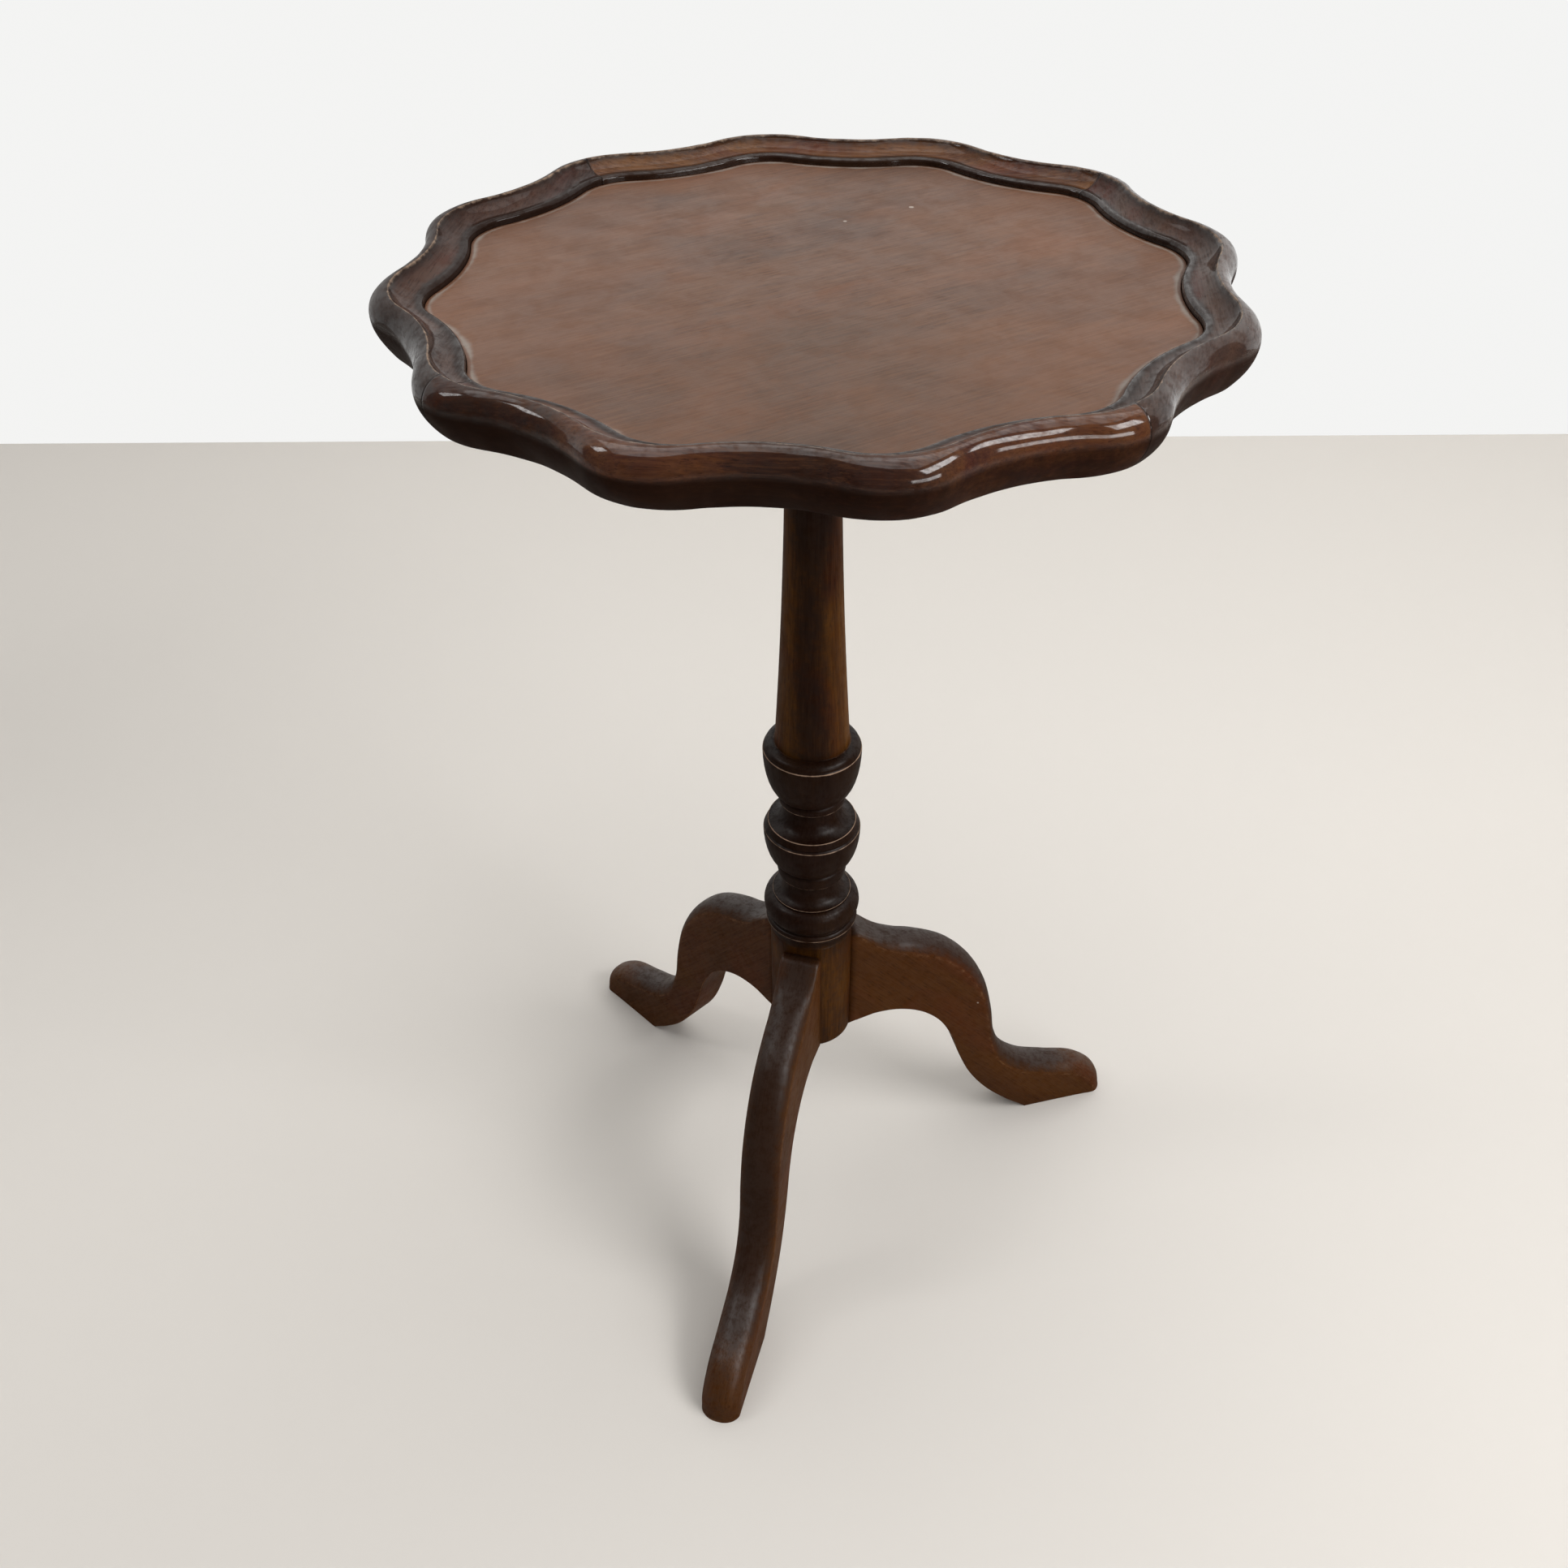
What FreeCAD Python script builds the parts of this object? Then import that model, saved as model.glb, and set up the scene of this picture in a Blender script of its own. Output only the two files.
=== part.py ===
import FreeCAD, Part
import math
import os

# A small tripod wine table: dished piecrust top, turned column, three cabriole legs.
# Millimetres, +Z up. The origin is on the floor under the column, and the front leg points along -Y.

# Whole table
table_height = 520.0
crest_radius = 150.0
leg_reach = 180.2

# Scalloped outlines of the top, lobes and hollows of tangent arcs, at the crest and at the outer edge
segment_count = 4
lobes_per_segment = 3
first_joint_angle = 54.3
lobe_depth = 8.5
lobe_round_share = 0.34
edge_round_share = 0.28

# Section of the rim, outward from the crest and down from it
roll_width = 8.0
hollow_roll_width = 6.2
roll_drop = 8.5
under_tuck = 5.5
cove_width = 9.6
cove_drop = 5.0
cove_hollow = 1.6
bead_width = 1.9
bead_drop = 1.5
quirk_depth = 1.5
ledge_width = 5.0
ledge_thickness = 4.5

# Panel inside the rim
panel_thickness = 8.0
panel_gap = 0.2

# Bearer block under the panel and its screws
bearer_radius = 54.0
bearer_thickness = 16.0
bearer_edge_round = 4.0
screw_count = 4
screw_circle_share = 0.68
screw_radius = 2.0
screw_head_radius = 4.0
screw_head_inset = 0.3
screw_slot_width = 1.0
screw_slot_depth = 0.9
screw_bite_share = 0.6
hole_clearance = 0.1

# Column, from its foot between the legs to the tenon in the bearer
column_foot_height = 106.0
drum_radius = 20.8
drum_edge_round = 1.5
drum_collar_height = 2.5
swell_radius = 23.9
turning_height = 116.0
shaft_foot_radius = 17.5
shaft_top_radius = 11.3
tenon_radius = 8.0
kerf_width = 2.6
kerf_depth = 12.0
kerf_end_share = 0.15

# Legs and the sliding dovetails that hold them in the drum
leg_count = 3
front_leg_angle = -90.0
leg_thickness = 20.0
leg_root_height = 66.0
leg_recess_height = 7.0
leg_crown_share = 0.38
tongue_root_share = 0.44
tongue_tip_share = 0.62
tongue_depth_share = 0.52
tongue_height_share = 0.84
tongue_clearance = 0.12

# Turnings above the drum. Each row is a curve, then its end as shares of swell radius and turning height.
# A scoop leaves level and ends upright, and a roll leaves upright and ends level.
turning_shares = (
    ("scoop", 0.94, 0.015),  # bead on the drum
    ("roll", 0.86, 0.03),
    ("line", 0.86, 0.045),
    ("scoop", 1.0, 0.11),  # torus
    ("roll", 0.77, 0.185),
    ("line", 0.82, 0.195),  # lower shoulder
    ("scoop", 0.55, 0.27),
    ("line", 0.535, 0.29),
    ("line", 0.695, 0.3),  # lower ring
    ("line", 0.715, 0.325),
    ("line", 0.715, 0.34),
    ("roll", 0.62, 0.36),
    ("scoop", 0.985, 0.545),  # lower bowl
    ("line", 0.975, 0.55),
    ("line", 0.93, 0.557),
    ("line", 0.945, 0.563),  # band and upper shoulder
    ("line", 0.89, 0.59),
    ("scoop", 0.545, 0.67),
    ("line", 0.525, 0.685),
    ("line", 0.67, 0.7),  # upper ring
    ("line", 0.675, 0.715),
    ("roll", 0.6, 0.735),
    ("scoop", 0.97, 0.957),  # cup
    ("line", 0.965, 0.965),
    ("line", 0.94, 0.97),
    ("roll", 0.74, 1.0),
)

# Leg outline. Each row is a share of the way from the drum to the toe, then of the height there.
leg_top_shares = (
    (0.03, 1.0),
    (0.105, 0.945),
    (0.235, 0.905),
    (0.345, 0.85),
    (0.43, 0.765),
    (0.49, 0.66),
    (0.525, 0.535),
    (0.55, 0.395),
    (0.595, 0.295),
    (0.675, 0.225),
    (0.79, 0.18),
    (0.915, 0.135),
    (0.98, 0.075),
    (1.0, 0.0),
)
leg_under_shares = (
    (0.69, 0.0),
    (0.595, 0.125),
    (0.515, 0.26),
    (0.455, 0.405),
    (0.41, 0.57),
    (0.37, 0.755),
    (0.32, 0.89),
    (0.255, 0.98),
    (0.175, 1.03),
    (0.085, 1.035),
    (0.0, 1.0),
)

# Values that follow from the sizes above
panel_drop = cove_drop + bead_drop + quirk_depth
wall_inset = cove_width + bead_width
rim_height = panel_drop + panel_thickness + ledge_thickness
panel_top = table_height - panel_drop
panel_bottom = panel_top - panel_thickness
bearer_bottom = panel_bottom - bearer_thickness
lobe_count = segment_count * lobes_per_segment
half_pitch = math.pi / lobe_count
segment_turn = 2 * math.pi / segment_count
first_joint = math.radians(first_joint_angle)
drum_top = column_foot_height + leg_root_height + leg_recess_height + drum_collar_height
shaft_foot = drum_top + turning_height
leg_top = column_foot_height + leg_root_height
flat_reach = math.sqrt(drum_radius**2 - (leg_thickness / 2) ** 2)
tongue_height = tongue_height_share * leg_root_height
screw_circle = screw_circle_share * bearer_radius
screw_bite = screw_bite_share * panel_thickness

# Share of a quarter turn at which a cubic curve's handle follows a circle
handle_share = 0.5523
sections_per_lobe = 24
up = FreeCAD.Vector(0, 0, 1)
axis_foot = FreeCAD.Vector(0, 0, 0)
full_turn = 360.0


def point(reach, height, angle=0):
    """Point in the upright plane through the column's axis at an angle in radians."""
    return FreeCAD.Vector(reach * math.cos(angle), reach * math.sin(angle), height)


def bezier(poles, angle=0):
    curve = Part.BezierCurve()
    curve.setPoles([point(reach, height, angle) for reach, height in poles])
    return curve.toShape()


def line(start, end, angle=0):
    return Part.makeLine(point(*start, angle), point(*end, angle))


def quarter_turn(start, end, level_first, angle=0):
    """Quarter of an ellipse that leaves level and ends upright, or leaves upright and ends level."""
    run = handle_share * (end[0] - start[0])
    rise = handle_share * (end[1] - start[1])
    if level_first:
        handles = ((start[0] + run, start[1]), (end[0], end[1] - rise))
    else:
        handles = ((start[0], start[1] + rise), (end[0] - run, end[1]))
    return bezier((start, *handles, end), angle)


def hollowed(start, end, hollow, angle=0):
    """Shallow curve whose middle lies below the straight line by the hollow."""
    run = end[0] - start[0]
    rise = end[1] - start[1]
    length = math.hypot(run, rise)
    handle = (
        (start[0] + end[0]) / 2 + 2 * hollow * rise / length,
        (start[1] + end[1]) / 2 - 2 * hollow * run / length,
    )
    return bezier((start, handle, end), angle)


def through(points):
    curve = Part.BSplineCurve()
    curve.interpolate([point(*place) for place in points])
    return curve.toShape()


def turned(shape, angle):
    """Copy of the shape, turned about the column's axis."""
    placed = shape.copy()
    placed.rotate(axis_foot, up, angle)
    return placed


def block(low, high):
    size = [top - bottom for bottom, top in zip(low, high)]
    return Part.makeBox(*size, FreeCAD.Vector(*low))


class Scallop:
    """Closed outline of tangent arcs, with lobes of one radius and hollows of another."""

    def __init__(self, peak, valley, round_share):
        cosine = math.cos(half_pitch)
        hollow_share = 1 - round_share
        square = 2 * round_share * hollow_share * (1 - cosine)
        linear = 2 * (hollow_share * (valley - cosine * peak) - round_share * (peak - cosine * valley))
        constant = peak**2 + valley**2 - 2 * cosine * peak * valley
        both = (linear + math.sqrt(linear**2 + 4 * square * constant)) / (2 * square)
        self.lobe_radius = round_share * both
        self.hollow_radius = hollow_share * both
        self.lobe_centre = peak - self.lobe_radius
        self.hollow_centre = valley + self.hollow_radius
        across = self.hollow_centre * math.sin(half_pitch)
        along = self.hollow_centre * cosine - self.lobe_centre
        self.lobe_half_span = math.atan2(across, along)

    def reach(self, angle, inset):
        """Distance of the outline from the column's axis, moved in by the inset, at an angle from a peak."""
        lobe_radius = self.lobe_radius - inset
        hollow_radius = self.hollow_radius + inset
        past_peak = abs((angle + half_pitch) % (2 * half_pitch) - half_pitch)
        join_across = lobe_radius * math.sin(self.lobe_half_span)
        join_along = self.lobe_centre + lobe_radius * math.cos(self.lobe_half_span)
        if past_peak < math.atan2(join_across, join_along):
            offset = self.lobe_centre * math.sin(past_peak)
            return self.lobe_centre * math.cos(past_peak) + math.sqrt(lobe_radius**2 - offset**2)
        to_valley = half_pitch - past_peak
        offset = self.hollow_centre * math.sin(to_valley)
        return self.hollow_centre * math.cos(to_valley) - math.sqrt(hollow_radius**2 - offset**2)

    def wire(self, inset, height):
        """The whole outline as one wire, moved in by the inset."""
        edges = []
        for number in range(lobe_count):
            peak = first_joint + 2 * number * half_pitch
            valley = peak + half_pitch
            inward = valley + math.pi
            turn_back = half_pitch - self.lobe_half_span
            arcs = (
                (peak, self.lobe_centre, self.lobe_radius - inset, peak, self.lobe_half_span),
                (valley, self.hollow_centre, self.hollow_radius + inset, inward, turn_back),
            )
            for toward, distance, radius, middle, half_span in arcs:
                centre = point(distance, height, toward)
                turns = (middle - half_span, middle, middle + half_span)
                edges.append(Part.Arc(*[centre + point(radius, 0, turn) for turn in turns]).toShape())
        return Part.Wire(edges)


crest_peak = crest_radius + lobe_depth / 2
crest_valley = crest_radius - lobe_depth / 2
crest_line = Scallop(crest_peak, crest_valley, lobe_round_share)
edge_line = Scallop(crest_peak + roll_width, crest_valley + hollow_roll_width, edge_round_share)


def rim_section(angle):
    """Section of the rim in the upright plane at an angle from a lobe peak."""
    crest_reach = crest_line.reach(angle, 0)
    wall_reach = crest_line.reach(angle, wall_inset)
    edge_reach = edge_line.reach(angle, 0)
    inner_reach = crest_line.reach(angle, wall_inset + ledge_width)
    bead_reach = wall_reach + (crest_reach - wall_reach) * bead_width / wall_inset
    ledge_height = panel_bottom
    under_height = table_height - rim_height
    crest = (crest_reach, table_height)
    widest = (edge_reach, table_height - roll_drop)
    waist = (edge_reach, (table_height - roll_drop + under_height) / 2)
    under = (edge_reach - under_tuck, under_height)
    under_inner = (inner_reach, under_height)
    ledge_inner = (inner_reach, ledge_height)
    ledge_outer = (wall_reach, ledge_height)
    bead_foot = (wall_reach, panel_top + quirk_depth)
    bead_top = (bead_reach, table_height - cove_drop)
    turn = first_joint + angle
    return Part.Wire(
        [
            quarter_turn(crest, widest, True, turn),
            bezier((widest, waist, under), turn),
            line(under, under_inner, turn),
            line(under_inner, ledge_inner, turn),
            line(ledge_inner, ledge_outer, turn),
            line(ledge_outer, bead_foot, turn),
            quarter_turn(bead_foot, bead_top, False, turn),
            hollowed(bead_top, crest, cove_hollow, turn),
        ]
    )


def rim_segment():
    """One moulded length of rim between two lobe peaks, with a rebate for the panel."""
    steps = sections_per_lobe * lobes_per_segment
    sections = [rim_section(segment_turn * step / steps) for step in range(steps + 1)]
    return Part.makeLoft(sections, True, False)


def screw_places():
    step = 2 * math.pi / screw_count
    angles = [first_joint + step * number for number in range(screw_count)]
    return [(screw_circle * math.cos(angle), screw_circle * math.sin(angle)) for angle in angles]


def top_panel():
    """Board with the scalloped edge, standing on the ledge of the rim, with blind holes for the screws."""
    outline = crest_line.wire(wall_inset + panel_gap, panel_bottom)
    board = Part.Face(outline).extrude(up * panel_thickness)
    bore = screw_radius + hole_clearance
    depth = screw_bite + hole_clearance
    holes = [Part.makeCylinder(bore, depth, FreeCAD.Vector(x, y, panel_bottom)) for x, y in screw_places()]
    return board.cut(holes)


def bearer_block():
    """Turned disc under the panel, bored for the column's tenon and for four countersunk screws."""
    disc = Part.makeCylinder(bearer_radius, bearer_thickness, point(0, bearer_bottom))
    low_edges = [edge for edge in disc.Edges if edge.CenterOfMass.z < bearer_bottom + bearer_edge_round]
    rings = [edge for edge in low_edges if edge.isClosed()]
    disc = disc.makeFillet(min(bearer_edge_round, bearer_thickness / 2), rings)
    bore = tenon_radius + hole_clearance
    cuts = [Part.makeCylinder(bore, bearer_thickness, point(0, bearer_bottom))]
    shank = screw_radius + hole_clearance
    mouth = screw_head_radius + screw_head_inset + hole_clearance
    for x, y in screw_places():
        foot = FreeCAD.Vector(x, y, bearer_bottom)
        cuts.append(Part.makeCylinder(shank, bearer_thickness, foot))
        cuts.append(Part.makeCone(mouth, shank, mouth - shank, foot))
    return disc.cut(cuts)


def bearer_screws():
    """Countersunk wood screws up through the bearer into the panel, each with a slot in its head."""
    screws = []
    for x, y in screw_places():
        foot = FreeCAD.Vector(x, y, bearer_bottom + screw_head_inset)
        length = bearer_thickness - screw_head_inset + screw_bite
        taper = screw_head_radius - screw_radius
        shank = Part.makeCylinder(screw_radius, length, foot)
        head = Part.makeCone(screw_head_radius, screw_radius, taper, foot)
        slot = block(
            (x - screw_head_radius, y - screw_slot_width / 2, foot.z),
            (x + screw_head_radius, y + screw_slot_width / 2, foot.z + screw_slot_depth),
        )
        screws.append(shank.fuse(head).removeSplitter().cut(slot))
    return Part.makeCompound([solid for screw in screws for solid in screw.Solids])


def kerf_prism():
    """The V of the saw kerf in the tenon, filled by the wedge."""
    half = kerf_width / 2
    end = kerf_end_share * half
    low = panel_bottom - kerf_depth
    corners = [(-half, panel_bottom), (-end, low), (end, low), (half, panel_bottom), (-half, panel_bottom)]
    length = 4 * tenon_radius
    outline = Part.makePolygon([FreeCAD.Vector(x, -length / 2, z) for x, z in corners])
    return Part.Face(outline).extrude(FreeCAD.Vector(0, length, 0))


def tenon_wedge():
    """Wedge that spreads the column's tenon in the bearer."""
    tenon = Part.makeCylinder(tenon_radius, kerf_depth, point(0, panel_bottom - kerf_depth))
    return kerf_prism().common(tenon)


def dovetail(room):
    """Dovetail that runs up from the foot of the drum along +X, widened all round by the room."""
    root = tongue_root_share * flat_reach / 2 + room
    tip = tongue_tip_share * flat_reach / 2 + room
    inner = flat_reach - tongue_depth_share * flat_reach - room
    outer = flat_reach + tongue_clearance
    side = [(inner, tip), (flat_reach, root), (outer, root)]
    corners = [(x, -y) for x, y in reversed(side)] + side
    outline = [FreeCAD.Vector(x, y, column_foot_height) for x, y in corners + corners[:1]]
    return Part.Face(Part.makePolygon(outline)).extrude(up * (tongue_height + room))


def leg_angles():
    return [front_leg_angle + full_turn * number / leg_count for number in range(leg_count)]


def column():
    """One turning: drum with flats and sockets for the legs, rings, cup, swelling shaft and kerfed tenon."""
    foot = column_foot_height
    corner = (drum_radius - drum_edge_round, foot)
    rounded = (drum_radius, foot + drum_edge_round)
    place = (drum_radius, drum_top)
    edges = [line((0, foot), corner), quarter_turn(corner, rounded, True), line(rounded, place)]
    for kind, radius_share, height_share in turning_shares:
        end = (swell_radius * radius_share, drum_top + turning_height * height_share)
        if kind == "line":
            edges.append(line(place, end))
        else:
            edges.append(quarter_turn(place, end, kind == "scoop"))
        place = end
    shaft_start = (shaft_foot_radius, shaft_foot)
    shaft_middle = (shaft_top_radius, (shaft_foot + bearer_bottom) / 2)
    shaft_end = (shaft_top_radius, bearer_bottom)
    tenon_foot = (tenon_radius, bearer_bottom)
    tenon_top = (tenon_radius, panel_bottom)
    edges += [line(place, shaft_start), bezier((shaft_start, shaft_middle, shaft_end))]
    edges += [line(shaft_end, tenon_foot), line(tenon_foot, tenon_top)]
    edges += [line(tenon_top, (0, panel_bottom)), line((0, panel_bottom), (0, foot))]
    turning = Part.Face(Part.Wire(edges)).revolve(axis_foot, up, full_turn)
    side = 2 * swell_radius
    flat = block((flat_reach, -side, foot - drum_edge_round), (side, side, leg_top + leg_recess_height))
    socket = dovetail(tongue_clearance)
    cuts = [kerf_prism()]
    for angle in leg_angles():
        cuts += [turned(flat, angle), turned(socket, angle)]
    return turning.cut(cuts).Solids[0]


def leg():
    """Leg along +X: sawn board with a crowned top, a flat shoulder at the drum and a dovetail tongue."""
    reach = leg_reach - flat_reach
    top_points = [(flat_reach + reach * share, leg_top * height) for share, height in leg_top_shares]
    under_points = [
        (flat_reach + reach * share, column_foot_height * height) for share, height in leg_under_shares
    ]
    root_top = (flat_reach, leg_top)
    edges = [
        line(under_points[-1], root_top),
        line(root_top, top_points[0]),
        through(top_points),
        line(top_points[-1], under_points[0]),
        through(under_points),
    ]
    board = Part.Face(Part.Wire(edges)).extrude(FreeCAD.Vector(0, leg_thickness, 0))
    board.translate(FreeCAD.Vector(0, -leg_thickness / 2, 0))
    shoulder = top_points[0][0]
    near = block((0, -leg_thickness, 0), (shoulder, leg_thickness, leg_top + leg_thickness))
    root = board.common(near)
    sweep = board.cut(near)
    long_edges = [edge for edge in sweep.Edges if edge.BoundBox.ZLength > leg_top - leg_thickness]
    sweep = sweep.makeFillet(leg_crown_share * leg_thickness, long_edges)
    return root.fuse([sweep, dovetail(0)]).removeSplitter().Solids[0]


os.makedirs("parts", exist_ok=True)

top_panel().exportStep("parts/top_panel.step")
segment = rim_segment()
for number, name in enumerate(("back", "left", "front", "right")):
    turned(segment, full_turn * number / segment_count).exportStep("parts/rim_segment_" + name + ".step")
bearer_block().exportStep("parts/bearer_block.step")
bearer_screws().exportStep("parts/bearer_screws.step")
column().exportStep("parts/column.step")
tenon_wedge().exportStep("parts/tenon_wedge.step")
straight_leg = leg()
for angle, name in zip(leg_angles(), ("front", "right", "left")):
    turned(straight_leg, angle).exportStep("parts/leg_" + name + ".step")
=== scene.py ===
import math

import bmesh
import bpy
from mathutils import Matrix, Vector, noise


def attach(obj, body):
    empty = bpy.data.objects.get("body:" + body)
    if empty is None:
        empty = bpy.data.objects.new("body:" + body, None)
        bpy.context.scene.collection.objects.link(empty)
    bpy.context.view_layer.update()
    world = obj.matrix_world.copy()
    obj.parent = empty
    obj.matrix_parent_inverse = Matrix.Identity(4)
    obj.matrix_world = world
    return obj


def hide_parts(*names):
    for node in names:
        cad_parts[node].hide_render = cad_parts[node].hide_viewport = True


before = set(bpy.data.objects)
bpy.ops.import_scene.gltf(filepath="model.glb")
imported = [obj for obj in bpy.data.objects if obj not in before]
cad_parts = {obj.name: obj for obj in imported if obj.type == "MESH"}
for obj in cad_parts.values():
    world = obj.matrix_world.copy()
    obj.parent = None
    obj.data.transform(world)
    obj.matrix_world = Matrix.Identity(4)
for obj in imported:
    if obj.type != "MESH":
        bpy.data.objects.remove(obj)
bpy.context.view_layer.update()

# Column: one mahogany turning, with a drum for the legs, two ringed bowls, a cup and a shaft that
# swells towards its foot. It is dark with old polish, with painted shade on the drum under the
# turnings and on the front and top of the shaft, and pale along the sharp turned arrises with
# wear and painted highlights.
# Three flats on the drum take the legs, and a tenon on top goes up into the bearer.
mm = 0.001
drum_foot = 106.0 * mm
drum_radius = 20.8 * mm
drum_round = 1.5 * mm
recess_top = 179.0 * mm
drum_top = 181.5 * mm
swell_radius = 23.9 * mm
turning_height = 116.0 * mm
shaft_foot_radius = 17.5 * mm
shaft_top_radius = 11.3 * mm
bearer_bottom = 488.0 * mm
tenon_radius = 8.0 * mm
panel_bottom = 504.0 * mm
leg_thickness = 20.0 * mm
leg_angles = {"front": math.radians(-90), "right": math.radians(30), "left": math.radians(150)}
flat_reach = math.sqrt(drum_radius**2 - (leg_thickness / 2) ** 2)
column_steps = 144
column_stride = 1.5 * mm
shaft_steps = 48
turned_arris = 0.3 * mm
arris_margin = 0.5 * mm
drum_overlap = 0.5 * mm
drum_cuts = (drum_foot + drum_round + 1.2 * mm, recess_top - 9 * mm, recess_top - 1.5 * mm)
# Each turning ends at a share of the widest radius and at a share of the turned height.
column_turnings = (
    ("line", 0.87, 0.02),
    ("scoop", 0.962, 0.043),
    ("roll", 0.88, 0.062),
    ("line", 0.865, 0.075),
    ("scoop", 1.0, 0.125),
    ("roll", 0.77, 0.185),
    ("line", 0.82, 0.195),
    ("scoop", 0.55, 0.27),
    ("line", 0.535, 0.29),
    ("line", 0.695, 0.3),
    ("line", 0.715, 0.325),
    ("line", 0.715, 0.34),
    ("roll", 0.62, 0.36),
    ("scoop", 0.985, 0.545),
    ("line", 0.975, 0.55),
    ("line", 0.93, 0.557),
    ("line", 0.945, 0.563),
    ("line", 0.89, 0.59),
    ("scoop", 0.545, 0.67),
    ("line", 0.525, 0.685),
    ("line", 0.67, 0.7),
    ("line", 0.675, 0.715),
    ("roll", 0.6, 0.735),
    ("scoop", 0.97, 0.957),
    ("line", 0.965, 0.965),
    ("line", 0.94, 0.97),
    ("roll", 0.74, 1.0),
)


class Tone:
    """A value or colour in a finish. Sums and products of values add the finish's Math nodes."""

    def __init__(self, tree, socket):
        self.tree = tree
        self.socket = socket

    def node(self, kind, settings, sockets, output=0):
        """Adds a node of any type, with its settings, and tones or values in its sockets."""
        made = self.tree.nodes.new(kind)
        for name, setting in settings.items():
            setattr(made, name, setting)
        for name, value in sockets.items():
            if isinstance(value, Tone):
                self.tree.links.new(value.socket, made.inputs[name])
            else:
                made.inputs[name].default_value = value
        return Tone(self.tree, made.outputs[output])

    def sums(self, operation, first, second):
        """One step of arithmetic between two values."""
        return self.node("ShaderNodeMath", {"operation": operation}, {0: first, 1: second})

    def __add__(self, other):
        return self.sums("ADD", self, other)

    def __radd__(self, other):
        return self.sums("ADD", other, self)

    def __sub__(self, other):
        return self.sums("SUBTRACT", self, other)

    def __rsub__(self, other):
        return self.sums("SUBTRACT", other, self)

    def __mul__(self, other):
        return self.sums("MULTIPLY", self, other)

    def __rmul__(self, other):
        return self.sums("MULTIPLY", other, self)

    def between(self, low, high):
        """Zero below one level of the value and one above another, with a soft step between."""
        settings = {"interpolation_type": "SMOOTHSTEP"}
        sockets = {"Value": self, "From Min": low, "From Max": high}
        return self.node("ShaderNodeMapRange", settings, sockets)

    def tint(self, colour, share, blend="MIX"):
        """The colour with another mixed or multiplied into it by a share."""
        settings = {"data_type": "RGBA", "blend_type": blend}
        return self.node("ShaderNodeMix", settings, {0: share, 6: self, 7: colour}, 2)

    def stretched(self, along):
        """Place in the wood, drawn out along the grain."""
        settings = {"operation": "MULTIPLY"}
        return self.node("ShaderNodeVectorMath", settings, {0: self, 1: (1 / along, 1.0, 1.0)})

    def noise(self, size, detail, roughness=0.5, distortion=0.0):
        """Cloudy patches of about one size, with finer ones inside them."""
        sockets = {
            "Vector": self, "Scale": 1 / size, "Detail": detail,
            "Roughness": roughness, "Distortion": distortion,
        }
        return self.node("ShaderNodeTexNoise", {}, sockets)


wood_marks = ("wear_and_highlight", "grime_and_shade", "patina_and_shade", "matt")
pore_tint = (0.25, 0.18, 0.14, 1.0)
grime_and_shade_tint = (0.1, 0.06, 0.05, 1.0)
sheen_tint = (1.0, 0.72, 0.52, 1.0)


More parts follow.
